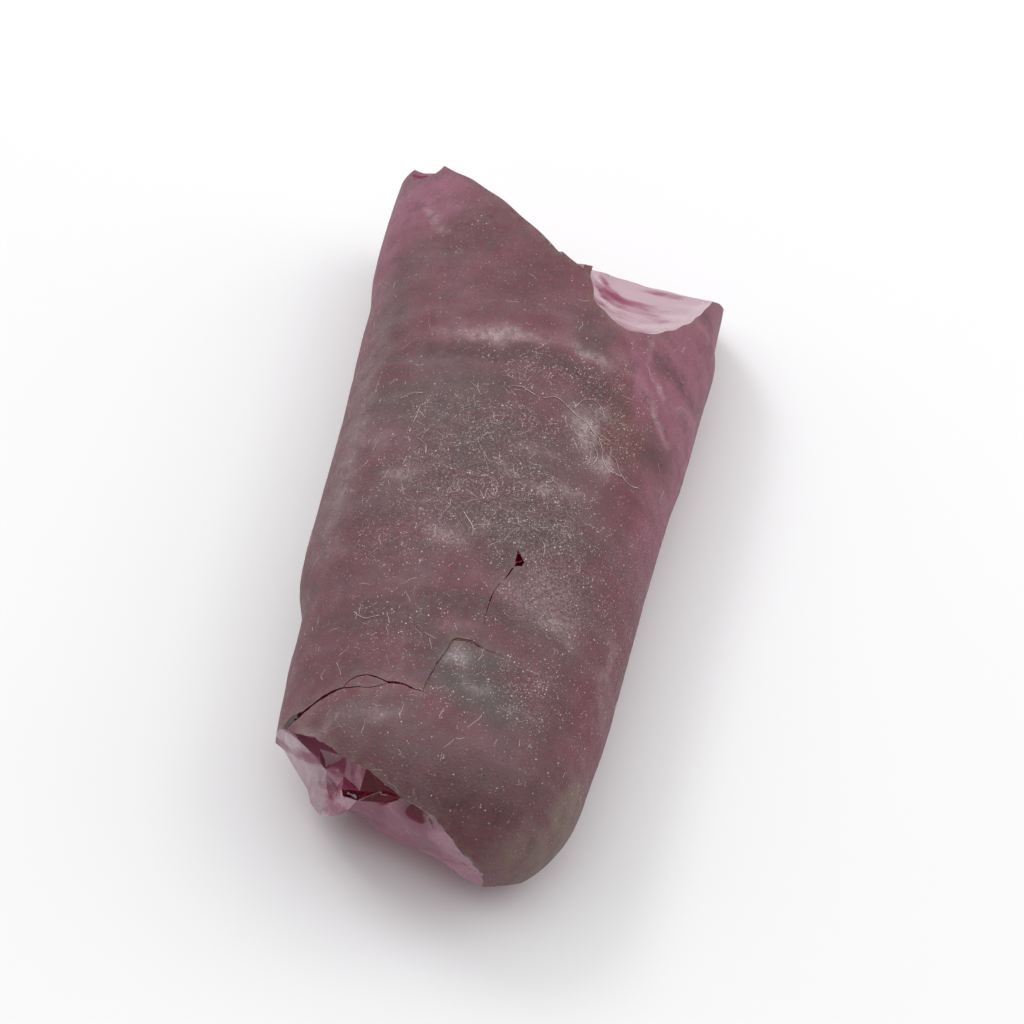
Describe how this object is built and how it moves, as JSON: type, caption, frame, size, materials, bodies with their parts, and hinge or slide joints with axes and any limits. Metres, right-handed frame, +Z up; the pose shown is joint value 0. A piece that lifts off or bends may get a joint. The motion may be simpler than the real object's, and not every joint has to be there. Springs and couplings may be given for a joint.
{
  "type": "raw ruby crystal",
  "caption": "Raw ruby crystal, a broken length of grown rod with a frosted grey-mauve skin and glassy red breaks, lying on its flat split face.",
  "frame": {"origin": "middle of the bounding box, on the flat split face that the crystal rests on", "axes": "+Y along the rod towards its stepped, scooped end, +X to the right with that end away, +Z up out of the flat face"},
  "size_m": [0.0216, 0.0462, 0.0112],
  "materials": {
    "ruby": "frosted and dusty skin, glassy see-through breaks"
  },
  "bodies": {
    "root": {"ruby_crystal": "ruby"}
  },
  "joints": []
}
